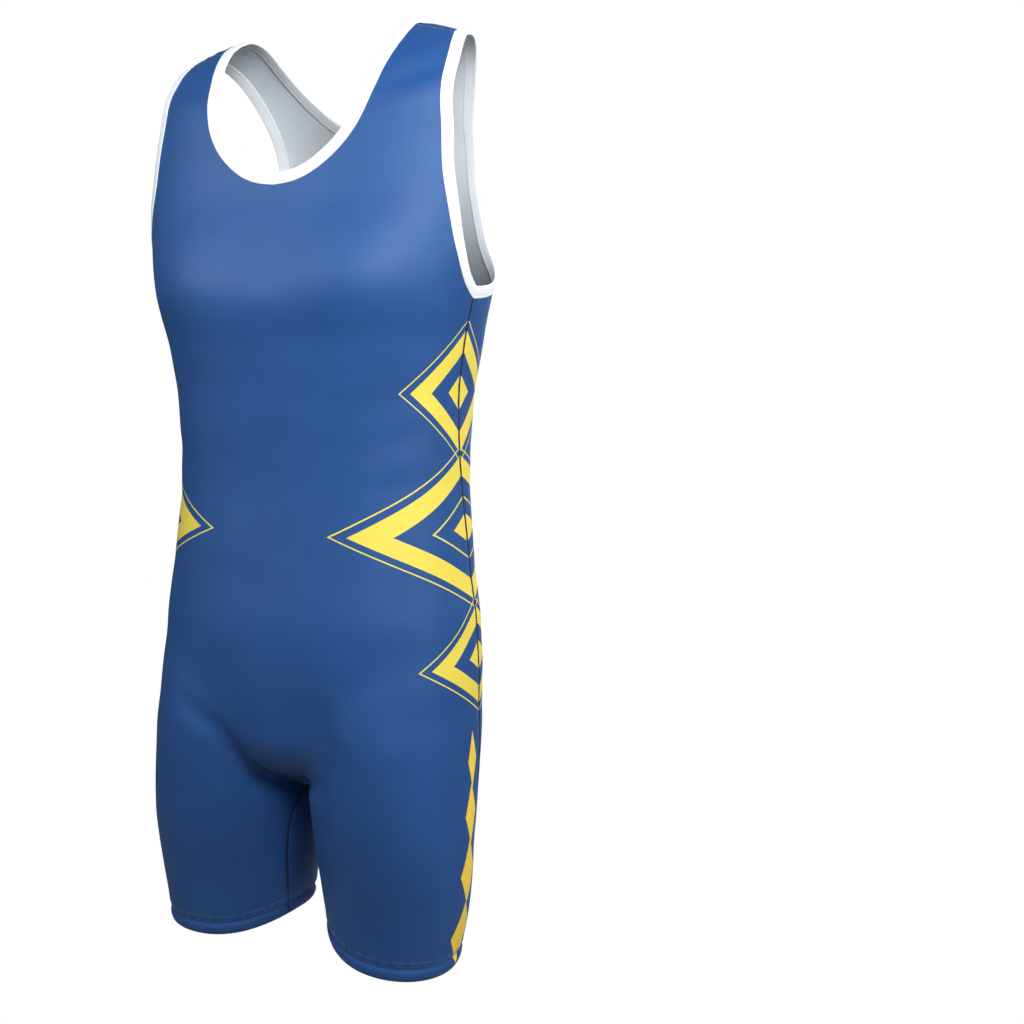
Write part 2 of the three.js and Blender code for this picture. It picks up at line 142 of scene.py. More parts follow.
def table_at(rows, z):
    """The values of a table at heights z, smooth from row to row."""
    heights, values = -rows[:, 0], rows[:, 1:]
    slope = np.zeros_like(values)
    slope[1:-1] = (values[2:] - values[:-2]) / (heights[2:] - heights[:-2])[:, None]
    slope[0] = (values[1] - values[0]) / (heights[1] - heights[0])
    slope[-1] = (values[-1] - values[-2]) / (heights[-1] - heights[-2])
    t = np.clip(-np.asarray(z, float), heights[0], heights[-1])
    i = np.clip(np.searchsorted(heights, t, side="right") - 1, 0, len(heights) - 2)
    span = (heights[i + 1] - heights[i])[..., None]
    s = (t - heights[i])[..., None] / span
    return hermite(s, span, values[i], slope[i], values[i + 1], slope[i + 1])


def smooth_min(a, b, blend):
    return (a + b - np.sqrt((a - b) ** 2 + blend**2)) / 2


def oval(x, y, half, depth, corner):
    share = (np.abs(x / half) ** corner + np.abs(y / depth) ** corner) ** (1 / corner)
    return (share - 1) * np.minimum(half, depth)


def outside(p):
    """How far points lie outside the figure, in mm; below zero is inside."""
    x, y, z = np.abs(p[..., 0]), p[..., 1], p[..., 2]
    torso = table_at(TORSO, z)
    back_of = y - torso[..., 1]
    depth = np.where(back_of < 0, torso[..., 2], torso[..., 3])
    trunk = oval(x, back_of, torso[..., 0], depth, torso[..., 4]) + np.maximum(0, TORSO_END - z)
    leg = table_at(LEG, z)
    inner, outer = leg[..., 0], leg[..., 1]
    back_of = y - leg[..., 2]
    sideways = x - (inner + outer) / 2 + leg[..., 4] * back_of / leg[..., 3]
    thigh = oval(sideways, back_of, (outer - inner) / 2, leg[..., 3], LEG_CORNER)
    fall = DROP * DROP_BLEND * np.logaddexp(0, (x - DROP_FROM) / DROP_BLEND)
    dy = y - SHOULDER_Y
    radius = np.where(dy > 0, SHOULDER_BACK_R, SHOULDER_FRONT_R)
    ridge = (z - SHOULDER_TOP + fall + dy**2 / (2 * radius)) / np.hypot(1, dy / radius)
    distance = -smooth_min(-smooth_min(trunk, thigh, BLEND_LEG), -ridge, BLEND_SHOULDER)
    for sx, sz, width, height, side, rise in SWELLS:
        bump = np.exp(-(((x - sx) / width) ** 2) - ((z - sz) / height) ** 2)
        distance = distance - rise * bump / (1 + np.exp(-side * y / SWELL_BLEND))
    return distance


def normals_at(p):
    slopes = []
    for k in range(3):
        step = np.zeros(3)
        step[k] = 0.5
        slopes.append(outside(p + step) - outside(p - step))
    return unit(np.stack(slopes, -1))


HALVINGS = 34


def crossing(inside, near, far):
    """Where a way from near, which is inside, to far, which is not, leaves the figure."""
    for _ in range(HALVINGS):
        middle = (near + far) / 2
        ok = inside(middle)
        near, far = np.where(ok, middle, near), np.where(ok, far, middle)
    return (near + far) / 2


def axis_at(z):
    """The line inside the figure that its rows are spread around."""
    t = np.clip((AXIS_LEAVES - z) / (AXIS_LEAVES - AXIS_ARRIVES), 0, 1)
    return np.stack([t * t * (3 - 2 * t) * AXIS_LEG_X, np.full_like(z, AXIS_Y), np.minimum(z, AXIS_TOP)], -1)


FAR = 420.0


def on_figure(target):
    """The points of the figure that the axis meets on the way to each target."""
    target = np.asarray(target, float)
    start = axis_at(target[..., 2])
    way = unit(target - start)
    to_middle = (start[..., 0] > 0) & (way[..., 0] < 0)
    far = np.where(to_middle, -start[..., 0] / np.where(to_middle, way[..., 0], -1), FAR)
    reach = crossing(lambda t: outside(start + way * t[..., None]) < 0, np.zeros_like(far), far)
    return start + way * reach[..., None]


def spaced_evenly(chain, count):
    """count + 1 points at even distances along each chain in an array (..., samples, 3)."""
    flat = chain.reshape(-1, *chain.shape[-2:])
    made = []
    for line in flat:
        length = np.concatenate([[0], np.cumsum(np.linalg.norm(np.diff(line, axis=0), axis=1))])
        wanted = np.linspace(0, length[-1], count + 1)
        made.append(np.stack([np.interp(wanted, length, line[:, k]) for k in range(3)], -1))
    made = np.array(made)
    made[:, 1:-1] = on_figure(made[:, 1:-1])
    return made.reshape(*chain.shape[:-2], count + 1, 3)


EDGE_SAMPLES = 500


def edge_line(rows, count):
    """A smooth line through rows of points, on the figure."""
    p = np.array(rows, float)
    t = np.concatenate([[0], np.cumsum(np.sqrt(np.linalg.norm(np.diff(p, axis=0), axis=1)))])
    slope = np.zeros_like(p)
    slope[1:-1] = (p[2:] - p[:-2]) / (t[2:] - t[:-2])[:, None]
    slope[0] = 1.5 * (p[1] - p[0]) / (t[1] - t[0]) - 0.5 * slope[1]
    slope[-1] = 1.5 * (p[-1] - p[-2]) / (t[-1] - t[-2]) - 0.5 * slope[-2]
    q = np.linspace(0, t[-1], EDGE_SAMPLES)
    i = np.clip(np.searchsorted(t, q, side="right") - 1, 0, len(t) - 2)
    span = (t[i + 1] - t[i])[:, None]
    s = (q - t[i])[:, None] / span
    chain = hermite(s, span, p[i], slope[i], p[i + 1], slope[i + 1])
    return spaced_evenly(on_figure(chain), count)


ROW_SAMPLES = 160  # along a row, before its points are spaced evenly
RING_R = 60.0
MIDDLE_REACH = 220  # farther than the figure goes from the fork to the front or back


def body_rows(heights, side):
    """Rows of points from the middle line or the inseam round to the side seam."""
    seam_y = table_at(SIDE_SEAM, heights)[:, 0]
    end = on_figure(np.stack([np.full_like(heights, 2 * AXIS_LEG_X), seam_y, heights], -1))
    zero = np.zeros_like(heights)
    fork_y = INSEAM[0, 1]

    def on_middle(t):
        return np.stack([zero, fork_y + side * t, heights], -1)

    start = on_middle(crossing(lambda t: outside(on_middle(t)) < 0, zero, zero + MIDDLE_REACH))
    below = heights < FORK
    inseam_y = table_at(INSEAM, heights)[:, 0]
    start[below] = on_figure(np.stack([zero, inseam_y, heights], -1)[below])
    at_fork = heights == FORK
    fork_z = crossing(lambda z: outside(np.array([0, fork_y, z])) < 0, SEAT, LEG_TOP)
    start[at_fork] = (0, fork_y, fork_z)
    axis = axis_at(heights)

    def turn(p):
        return np.arctan2(p[:, 0] - axis[:, 0], side * (p[:, 1] - axis[:, 1]))

    a = np.linspace(0, 1, ROW_SAMPLES)[None, :]
    angle = turn(start)[:, None] * (1 - a) + turn(end)[:, None] * a
    z = np.broadcast_to(heights[:, None], angle.shape)
    x = axis[:, :1] + RING_R * np.sin(angle)
    y = axis[:, 1:2] + side * RING_R * np.cos(angle)
    chain = on_figure(np.stack([x, y, z], -1))
    chain[:, 0], chain[:, -1] = start, end
    rows = spaced_evenly(chain, COLUMNS)
    leg = heights < LEG_TOP
    rows[leg] = lifted(rows[leg])
    return rows


def end_rise(p):
    """How much higher the leg ends here than on its outer side."""
    leg = table_at(LEG, p[..., 2])
    inwards = np.clip((leg[..., 1] - np.abs(p[..., 0])) / (leg[..., 1] - leg[..., 0]), 0, 1)
    return HEM_RISE * inwards**4


def lifted(p):
    """Points on a leg, moved up so that its end slopes."""
    t = np.clip((LEG_TOP - p[..., 2]) / (LEG_TOP - LEG_END - HEM_DEPTH), 0, 1)
    up = end_rise(p) * t * t * (3 - 2 * t)
    return on_figure(p + np.stack([0 * up, 0 * up, up], -1))


def above_end(p):
    """How far points lie above the sloping end of the leg."""
    return p[..., 2] - LEG_END - end_rise(p)


def row_heights():
    """Heights of the rows from armpit to leg end, closest together at the fork and the hem."""

    def down(start, end, steps, ease):
        return [start + (end - start) * ease(k / steps) for k in range(steps)]

    over_hem, fold = LEG_END + HEM_DEPTH + 4, LEG_END + HEM_FOLD
    heights = down(ARMPIT, SEAT, 92, lambda t: t)
    heights += down(SEAT, FORK, 30, lambda t: 1 - (1 - t) ** 2)
    heights += down(FORK, LEG_TOP, 16, lambda t: t**2)
    heights += down(LEG_TOP, over_hem, 20, lambda t: t)
    heights += down(over_hem, fold, 16, lambda t: t)
    return np.array([*heights, fold])


heights = row_heights()
body = {side: body_rows(heights, side) for side in (FRONT, BACK)}
neck = {side: edge_line(NECK[side], YOKE[side][0]) for side in (FRONT, BACK)}
armhole = {side: edge_line(ARMHOLE[side], YOKE[side][1]) for side in (FRONT, BACK)}
for side in (FRONT, BACK):
    armhole[side][-1] = body[side][0][-1]


def raw_edge(line, before, after, way):
    """The cut edge of the cloth, a binding's reach beyond a line."""
    padded = np.concatenate([[before], line, [after]])
    along = padded[2:] - padded[:-2]
    across = np.cross(normals_at(line), along)
    across *= way * BINDING / np.linalg.norm(across, axis=-1, keepdims=True)
    return on_figure(line + across)


neck_raw = {s: raw_edge(neck[s], neck[-s][1], neck[s][-2] * MIRROR, s) for s in (FRONT, BACK)}
armhole_raw = {s: raw_edge(armhole[s], armhole[-s][1], armhole[-s][-2], -s) for s in (FRONT, BACK)}


YOKE_SAMPLES = 60


def yoke_rows(side):
    """Rows of points from the neck or the middle line across to the armhole."""
    along_neck, along_arm = YOKE[side]
    lowest = neck[side][-1]
    start = []
    for i in range(along_arm):
        down = (i - along_neck) / (along_arm - along_neck)
        start.append(neck[side][i] if down <= 0 else lowest + (body[side][0][0] - lowest) * down)
    start = np.array(start)
    start[along_neck + 1 :] = on_figure(start[along_neck + 1 :])
    a = np.linspace(0, 1, YOKE_SAMPLES)[None, :, None]
    chain = on_figure(start[:, None] * (1 - a) + armhole[side][:-1, None] * a)
    chain[:, 0], chain[:, -1] = start, armhole[side][:-1]
    return np.concatenate([spaced_evenly(chain, COLUMNS), body[side][:1]])


yoke = {side: yoke_rows(side) for side in (FRONT, BACK)}


# ------------------------------------------------------------------ folds and puckers
# Soft troughs (depth below zero) and ridges, each along a line: side, x0, z0, x1, z1, width, depth
FOLDS = [
    # groins: the longer and deeper one is on the wearer's right
    (FRONT, -88, -642, -54, -664, 9, -3.2),
    (FRONT, -56, -664, -38, -696, 10, -6.2),
    (FRONT, -38, -696, -18, -730, 10, -6.6),
    (FRONT, -22, -722, 46, -710, 10, -4.4),
    (FRONT, -70, -690, -40, -728, 14, -1.6),
    (FRONT, 56, -630, 62, -676, 15, -2.6),
    (FRONT, 62, -668, 48, -716, 13, -5.6),
    (FRONT, 72, -655, 94, -692, 17, -1.2),
    (FRONT, -92, -618, -44, -640, 22, 1.2),
    (FRONT, 0, -646, 12, -688, 26, 2.8),
    # from the seat towards the legs
    (BACK, -96, -668, -34, -712, 16, -3.6),
    (BACK, 100, -664, 36, -714, 15, -3.2),
    (BACK, 0, -590, 0, -715, 14, -4.6),
    (BACK, -118, -690, -58, -722, 10, -1.0),
    (BACK, 112, -694, 66, -724, 9, -1.2),
    # straps
    (FRONT, 96, -64, 146, -50, 9, -2.2),
    (FRONT, 98, -86, 148, -72, 11, 1.0),
    (FRONT, 106, -36, 140, -30, 8, 0.8),
    (FRONT, -98, -54, -144, -44, 9, -1.5),
    (FRONT, -98, -78, -146, -70, 12, 0.8),
    (BACK, 92, -52, 106, -84, 9, -0.8),
    (BACK, -90, -46, -108, -78, 10, -1.0),
    # drag lines at the waist and hips
    (FRONT, 138, -372, 92, -392, 12, -0.9),
    (FRONT, 140, -418, 100, -426, 10, -0.7),
    (FRONT, -140, -388, -96, -404, 13, -1.0),
    (FRONT, -138, -446, -104, -442, 9, -0.6),
    (BACK, 132, -392, 84, -404, 12, -1.1),
    (BACK, 134, -430, 78, -424, 11, -0.8),
    (BACK, -134, -380, -80, -398, 12, -1.0),
    (BACK, -130, -438, -88, -436, 10, -0.9),
    (BACK, -60, -412, 52, -418, 16, -0.9),
    # below the armholes
    (FRONT, 158, -268, 128, -300, 9, -0.9),
    (FRONT, -158, -266, -132, -306, 10, -0.8),
    (BACK, 150, -268, 118, -296, 9, -0.8),
    (BACK, -150, -270, -122, -290, 8, -0.7),
]


def waves(p, size, seed):
    """Slow uneven noise from a few sine waves, about -1 to 1."""
    rng = np.random.default_rng(seed)
    total = 0
    for _ in range(5):
        k = rng.normal(size=3)
        k *= 2 * math.pi / (size * rng.uniform(0.7, 1.5) * np.linalg.norm(k))
        total = total + np.sin(p @ k + rng.uniform(0, 6.28))
    return total / 2.6


UNEVEN = ((0.35, 120, 4), (0.1, 34, 9))  # depth, size, seed
# Small puckers along the shoulder seam
SHOULDER_SEAM_Y, SHOULDER_SEAM_REACH = -4, 9
SHOULDER_PUCKER, SHOULDER_PUCKER_DEPTH = 1.9, 0.4
SIDE_BLEND = 9  # how softly a fold on the front or back ends at the side


def relief(p):
    """How far the cloth lies off the smooth figure, in mm, from its folds."""
    x, y, z = p[..., 0], p[..., 1], p[..., 2]
    height = sum(depth * waves(p, size, seed) for depth, size, seed in UNEVEN)
    near_seam = np.exp(-(((y - SHOULDER_SEAM_Y) / SHOULDER_SEAM_REACH) ** 2))
    shoulder = near_seam / (1 + np.exp(-(z + 40) / 4))
    pucker = np.sin(x / SHOULDER_PUCKER + 2.5 * waves(p, 25, 6))
    height = height + SHOULDER_PUCKER_DEPTH * shoulder * pucker
    for side, x0, z0, x1, z1, width, depth in FOLDS:
        a, b = np.array([x0, z0], float), np.array([x1, z1], float)
        d = b - a
        q = np.stack([x, z], -1) - a
        t = np.clip(q @ d / (d @ d), 0, 1)
        away = np.linalg.norm(q - t[..., None] * d, axis=-1)
        taper = 0.35 + 0.65 * np.sin(math.pi * np.clip(t, 0.05, 0.95)) ** 0.7
        shown = 1 / (1 + np.exp(-side * y / SIDE_BLEND))
        height = height + depth * taper * shown * np.exp(-((away / width) ** 2))
    return height


# ------------------------------------------------------------------ meshes
METRES = 0.001


def new_object(name, points, faces, materials, face_material=None, print_at=None):
    mesh = bpy.data.meshes.new(name)
    mesh.from_pydata((np.asarray(points) * METRES).tolist(), [], faces)
    for m in materials:
        mesh.materials.append(m)
    if face_material is not None:
        mesh.polygons.foreach_set("material_index", np.asarray(face_material, np.int32))
    mesh.polygons.foreach_set("use_smooth", np.full(len(mesh.polygons), True))
    if print_at is not None:
        layer = mesh.attributes.new("print_at", "FLOAT_VECTOR", "POINT")
        layer.data.foreach_set("vector", np.asarray(print_at, np.float32).ravel())
    mesh.update()
    obj = bpy.data.objects.new(name, mesh)
    bpy.context.collection.objects.link(obj)
    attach(obj, "root")
    return obj


# Above the leg's end: a roll, its thickness and how far up it goes; a groove, its depth, place and width
HEM_ROLL, HEM_ROLL_TOP = 1.1, 11.5
HEM_GROOVE, HEM_GROOVE_AT, HEM_GROOVE_WIDTH = 1.3, 13.0, 2.6
HEM_CALM = 0.8  # how much of the folds is gone at the leg's end
# At a flat seam: how deep it pulls the cloth in, and how wide that dip is
SEAM_SINK, SEAM_DIP = 0.55, 2.6
# Small puckers along the side seam, and gathers at the upper edge of the hem
PUCKER, PUCKER_REACH, PUCKER_LENGTH = 0.16, 8, 2.1
GATHER, GATHER_REACH, GATHERS_PER_RADIAN = 0.26, 7, 34
LEG_MIDDLE_X, LEG_MIDDLE_Y = 82, -15
NO_SEAM = 500.0  # stands for a place far from the side seam


def settled(p):
    """How far the cloth lies off the smooth figure, with the hem's groove and rolled edge."""
    up = above_end(p)
    stitched = HEM_DEPTH - 3
    calm = np.clip((stitched - up) / stitched, 0, 1)
    roll = HEM_ROLL * np.sin(math.pi * np.clip(up / HEM_ROLL_TOP, 0, 1))
    groove = HEM_GROOVE * np.exp(-(((up - HEM_GROOVE_AT) / HEM_GROOVE_WIDTH) ** 2))
    return relief(p) * (1 - HEM_CALM * calm) + roll - groove


class Cloth:
    """A wall of cloth gathered from grids of points; alike points are joined."""

    def __init__(self):
        self.points, self.seam, self.faces = [], [], []
        self.known = {}  # the number of each point, by its rounded place

    def grid(self, rows, seam=None):
        """Adds rows of points and their mirror image; seam is how far each lies from the side seam."""
        for flip in (1.0, -1.0):
            ids = np.empty(rows.shape[:2], int)
            for r in range(rows.shape[0]):
                for c in range(rows.shape[1]):
                    p = rows[r, c] * (flip, 1, 1)
                    key = (round(p[0], 2) + 0.0, round(p[1], 2) + 0.0, round(p[2], 2) + 0.0)
                    if key not in self.known:
                        self.known[key] = len(self.points)
                        self.points.append(p)
                        self.seam.append(NO_SEAM if seam is None else seam[r, c])
                    ids[r, c] = self.known[key]
            for r in range(rows.shape[0] - 1):
                for c in range(rows.shape[1] - 1):
                    self.faces.append((ids[r, c], ids[r + 1, c], ids[r + 1, c + 1], ids[r, c + 1]))

    def build(self, name, materials, way):
        """way is 1 where the print's distance from the side seam counts up, and -1 where it counts down."""
        p, seam = np.array(self.points), np.array(self.seam)
        n = normals_at(p)
        f = np.array(self.faces)
        facing = np.cross(p[f[:, 2]] - p[f[:, 0]], p[f[:, 3]] - p[f[:, 1]])
        wrong = np.einsum("ij,ij->i", facing, n[f].mean(1)) < 0
        f[wrong] = f[wrong][:, ::-1]
        near = np.exp(-((seam / SEAM_DIP) ** 2))
        at_seam = np.exp(-np.abs(seam) / PUCKER_REACH)
        pucker = at_seam * np.sin(p[:, 2] / PUCKER_LENGTH + 1.5 * waves(p, 40, 3))
        around = np.arctan2(p[:, 1] - LEG_MIDDLE_Y, np.abs(p[:, 0]) - LEG_MIDDLE_X)
        at_hem = np.exp(-(((above_end(p) - HEM_DEPTH) / GATHER_REACH) ** 2))
        ripple = np.sin(around * GATHERS_PER_RADIAN + 2 * waves(p, 60, 8)) * at_hem
        lift = settled(p) - SEAM_SINK * near + PUCKER * pucker + GATHER * ripple
        mid = p + n * lift[:, None]
        count = len(p)
        points = np.concatenate([mid + n * CLOTH / 2, mid - n * CLOTH / 2])
        edges = {}
        for a, b, c, d in f.tolist():
            for e in ((a, b), (b, c), (c, d), (d, a)):
                if (e[1], e[0]) in edges:
                    del edges[(e[1], e[0])]
                else:
                    edges[e] = True
        rim = [(b, a, a + count, b + count) for a, b in edges]
        outer, inner = f.tolist(), (f[:, [0, 3, 2, 1]] + count).tolist()
        kinds = [0] * len(outer) + [1] * len(inner) + [1] * len(rim)
        print_at = np.stack([np.minimum(seam, NO_SEAM) * way, p[:, 2], p[:, 0]], -1)
        both_walls = np.concatenate([print_at] * 2)
        return new_object(name, points, outer + inner + rim, materials, kinds, both_walls)


def sweep(name, sections, material, closed=True):
    """A closed section swept along stations: sections is (stations, section points, 3)."""
    stations, size = sections.shape[:2]
    faces = []
    for s in range(stations if closed else stations - 1):
        t = (s + 1) % stations
        for k in range(size):
            j = (k + 1) % size
            faces.append((s * size + k, t * size + k, t * size + j, s * size + j))
    if not closed:
        faces.append(tuple(range(size)))
        faces.append(tuple(reversed(range((stations - 1) * size, stations * size))))
    points = sections.reshape(-1, 3)
    f = np.array(faces[: stations * size - size])
    a, b, c = points[f[:, 0]], points[f[:, 1]], points[f[:, 2]]
    if np.einsum("ij,ij->", a, np.cross(b, c)) < 0:
        faces = [tuple(reversed(face)) for face in faces]
    return new_object(name, points, faces, [material])


def stitches(name, groups, material):
    """Small rounded threads. groups holds (start points, end points, normals, radius)."""
    # along the thread, and its thickness there, as parts of its length and radius
    profile = [(0.0, 0.35), (0.18, 0.9), (0.5, 1.0), (0.82, 0.9), (1.0, 0.35)]
    sides = 6
    points, faces = [], []
    for starts, ends, ups, radius in groups:
        for a, b, up in zip(starts, ends, ups):
            way = b - a
            length = np.linalg.norm(way)
            if length < 1e-6:
                continue
            way = way / length
            across = np.cross(way, up)
            across /= np.linalg.norm(across)
            rise = np.cross(across, way)
            base = len(points)
            for t, r in profile:
                arch = radius * 0.9 * math.sin(math.pi * t)
                centre = a + (b - a) * t + rise * arch
                for k in range(sides):
                    angle = 2 * math.pi * k / sides
                    points.append(centre + radius * r * (across * math.cos(angle) + rise * math.sin(angle)))
            for i in range(len(profile) - 1):
                for k in range(sides):
                    j = (k + 1) % sides
                    faces.append((base + i * sides + k, base + i * sides + j, base + (i + 1) * sides + j,
                                  base + (i + 1) * sides + k))
            faces.append(tuple(base + k for k in reversed(range(sides))))
            last = base + (len(profile) - 1) * sides
            faces.append(tuple(last + k for k in range(sides)))
    return new_object(name, np.array(points), faces, [material])


def resample(line, step):
    length = np.concatenate([[0], np.cumsum(np.linalg.norm(np.diff(line, axis=0), axis=1))])
    wanted = np.arange(0, length[-1], step)
    return np.stack([np.interp(wanted, length, line[:, k]) for k in range(3)], -1)


# ------------------------------------------------------------------ materials
class Nodes:
    """A material and short ways to add nodes to it."""

    def __init__(self, name):
        self.material = bpy.data.materials.new(name)
        self.material.use_nodes = True
        self.tree = self.material.node_tree
        self.shader = self.tree.nodes["Principled BSDF"]

    def add(self, kind, inputs=(), **settings):
        node = self.tree.nodes.new("ShaderNode" + kind)
        for key, value in settings.items():
            setattr(node, key, value)
        for key, value in dict(inputs).items():
            self.link(value, node.inputs[key])
        return node

    def link(self, value, socket):
        if isinstance(value, bpy.types.NodeSocket):
            self.tree.links.new(value, socket)
        else:
            socket.default_value = value

    def math(self, operation, a, b=0.0, c=0.0):
        return self.add("Math", {0: a, 1: b, 2: c}, operation=operation).outputs[0]

    def set(self, **inputs):
        for key, value in inputs.items():
            self.link(value, self.shader.inputs[key.replace("_", " ")])

    def mix(self, factor, a, b):
        node = self.add("Mix", data_type="RGBA")
        self.link(factor, node.inputs[0])
        self.link(a, node.inputs[6])
        self.link(b, node.inputs[7])
        return node.outputs[2]

    def place(self):
        return self.add("TexCoord").outputs["Object"]

    def noise(self, scale):
        node = self.add("TexNoise", {"Scale": scale, "Detail": 3.0, "Vector": self.place()})
        return node.outputs["Fac"]


def srgb(r, g, b):
    def linear(v):
        v /= 255
        return v / 12.92 if v <= 0.04045 else ((v + 0.055) / 1.055) ** 2.4

    return (linear(r), linear(g), linear(b), 1.0)


BUMP_DEPTH = 0.0001  # metres
# Shares of the knit's height that are ribs, cross rows and fuzz; from row to row as part of a rib
RIBS, ROWS, FUZZ = 0.6, 0.35, 0.6
FUZZ_SCALE = 900.0
ROW_PITCH = 0.8
DEPTHWISE = 0.55  # how fast ribs follow each other to the back, next to 1 across


def knit_bump(m, rib, strength):
    """Fine upright ribs and cross rows of a warp knit, from the point's own place. rib is in metres."""
    x, y, z = m.add("SeparateXYZ", {0: m.place()}).outputs
    around = m.math("ADD", x, m.math("MULTIPLY", y, DEPTHWISE))
    ribs = m.math("SINE", m.math("MULTIPLY", around, TURN / rib))
    rows = m.math("SINE", m.math("MULTIPLY", z, TURN / (rib * ROW_PITCH)))
    height = m.math("ADD", m.math("MULTIPLY", ribs, RIBS), m.math("MULTIPLY", rows, ROWS))
    height = m.math("ADD", height, m.math("MULTIPLY", m.noise(FUZZ_SCALE), FUZZ))
    bump = m.add("Bump", {"Height": height, "Strength": strength, "Distance": BUMP_DEPTH})
    return bump.outputs[0]


def band(m, value, low, high):
    """1 where value lies between low and high."""
    return m.math("MULTIPLY", m.math("GREATER_THAN", value, low), m.math("LESS_THAN", value, high))


BLUE, DEEP_BLUE = srgb(37, 81, 141), srgb(31, 70, 127)
YELLOW, AMBER = srgb(232, 211, 82), srgb(255, 214, 62)
AMBER_FROM, AMBER_TO = -600.0, -720.0  # heights between which the print's yellow turns to amber
# The third lining colour is painted shade, not a colour of the cloth: the inside turns to it lower down,
# where less light would reach
LINING, PALE_LINING, LINING_PAINTED_SHADE = srgb(203, 211, 218), srgb(214, 221, 227), srgb(118, 127, 135)
PAINTED_SHADE_FROM, PAINTED_SHADE_TO = -0.1, -0.23  # heights between which the lining darkens to its painted shade, which stands in for the shadow deep inside the garment, in metres
TAPE_WHITE, PALE_TAPE = srgb(222, 228, 235), srgb(229, 234, 240)
# Printed diamonds: how far the middle lies to the front of the side seam, its height, half width, half
# height, and the bands that are yellow, as parts of the way from the middle to the edge
DIAMONDS = [
    (0, -338, 72, 58, [(0.0, 0.3), (0.66, 1.0), (1.14, 1.165)]),
    (0, -468, 152, 70, [(0.0, 0.2), (0.42, 0.445), (0.72, 1.0), (1.1, 1.12)]),
    (0, -592, 88, 48, [(0.0, 0.3), (0.66, 1.0), (1.14, 1.17)]),
    (26, -688, 11, 28, [(0.0, 1.0)]),
    (29, -740, 15, 30, [(0.0, 1.0)]),
    (32, -796, 19, 32, [(0.0, 1.0)]),
    (34, -857, 20, 32, [(0.0, 1.0)]),
]


def cloth_outside():
    m = Nodes("printed knit")
    printed = m.add("Attribute", attribute_name="print_at").outputs["Vector"]
    from_seam, height, _ = m.add("SeparateXYZ", {0: printed}).outputs
    mask = None
    for forward, middle, half_width, half_height, bands in DIAMONDS:
        away = m.math("ABSOLUTE", m.math("SUBTRACT", from_seam, float(forward)))
        up = m.math("ABSOLUTE", m.math("SUBTRACT", height, float(middle)))
        across = m.math("MULTIPLY", away, 1 / half_width)
        out = m.math("MULTIPLY_ADD", up, 1 / half_height, across)
        for low, high in bands:
            inside = band(m, out, low - 0.001, high)
            mask = inside if mask is None else m.math("MAXIMUM", mask, inside)
    tone = m.mix(m.noise(22.0), BLUE, DEEP_BLUE)
    lower = m.add("MapRange", {0: height, 1: AMBER_FROM, 2: AMBER_TO, 3: 0.0, 4: 1.0}).outputs[0]
    m.set(
        Base_Color=m.mix(mask, tone, m.mix(lower, YELLOW, AMBER)),
        Roughness=0.52,
        Specular_IOR_Level=0.42,
        Specular_Tint=(0.75, 0.87, 1.0, 1.0),
        Sheen_Weight=0.1,
        Sheen_Roughness=0.3,
        Sheen_Tint=(0.45, 0.7, 1.0, 1.0),
        Normal=knit_bump(m, 0.0009, 0.35),
    )
    return m.material


def cloth_inside():
    m = Nodes("unprinted knit")
    z = m.add("SeparateXYZ", {0: m.place()}).outputs[2]
    # painted shade: the inside gets darker lower down, as if less light reached in through the neck and
    # armholes
    deep = m.add("MapRange", {0: z, 1: PAINTED_SHADE_FROM, 2: PAINTED_SHADE_TO, 3: 0.0, 4: 1.0}).outputs[0]
    m.set(
        Base_Color=m.mix(deep, m.mix(m.noise(30.0), LINING, PALE_LINING), LINING_PAINTED_SHADE),
        Roughness=0.8,
        Specular_IOR_Level=0.2,
        Sheen_Weight=0.15,
        Normal=knit_bump(m, 0.0018, 0.9),
    )
    return m.material


def tape():
    m = Nodes("binding tape")
    m.set(
        Base_Color=m.mix(m.noise(60.0), TAPE_WHITE, PALE_TAPE),
        Roughness=0.7,
        Specular_IOR_Level=0.25,
        Sheen_Weight=0.12,
        Normal=knit_bump(m, 0.0011, 0.4),
    )
    return m.material


def thread(name, colour):
    m = Nodes(name)
    twist = m.add("TexWave", {"Scale": 900.0, "Distortion": 1.0, "Vector": m.place()})
    bump = m.add("Bump", {"Height": twist.outputs["Fac"], "Strength": 0.5, "Distance": BUMP_DEPTH})
    dark = tuple(v * 0.8 for v in colour[:3]) + (1.0,)
    m.set(Base_Color=m.mix(m.noise(300.0), colour, dark), Roughness=0.5, Normal=bump.outputs[0])
    return m.material


outside_cloth, inside_cloth, white_tape = cloth_outside(), cloth_inside(), tape()
navy_thread = thread("navy thread", srgb(22, 32, 62))
light_thread = thread("light thread", srgb(84, 128, 184))
white_thread = thread("white thread", srgb(236, 238, 240))

# ------------------------------------------------------------------ panels
UNDER_TAPE = 3  # faces across the strip of cloth that a tape covers
for side, name in ((FRONT, "front_panel"), (BACK, "back_panel")):
    cloth = Cloth()
    lengths = np.linalg.norm(np.diff(body[side], axis=1), axis=2)
    from_seam = np.concatenate([np.cumsum(lengths[:, ::-1], 1)[:, ::-1], np.zeros((len(heights), 1))], 1)
    cloth.grid(body[side], from_seam)
    cloth.grid(yoke[side])
    steps = np.linspace(0, 1, UNDER_TAPE + 1)[:, None]
    for line, raw in ((neck[side], neck_raw[side]), (armhole[side], armhole_raw[side])):
        cloth.grid(np.array([p * (1 - steps) + q * steps for p, q in zip(line, raw)]))
    piece = cloth.build(name + "_cloth", [outside_cloth, inside_cloth], -side)
    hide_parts(name)

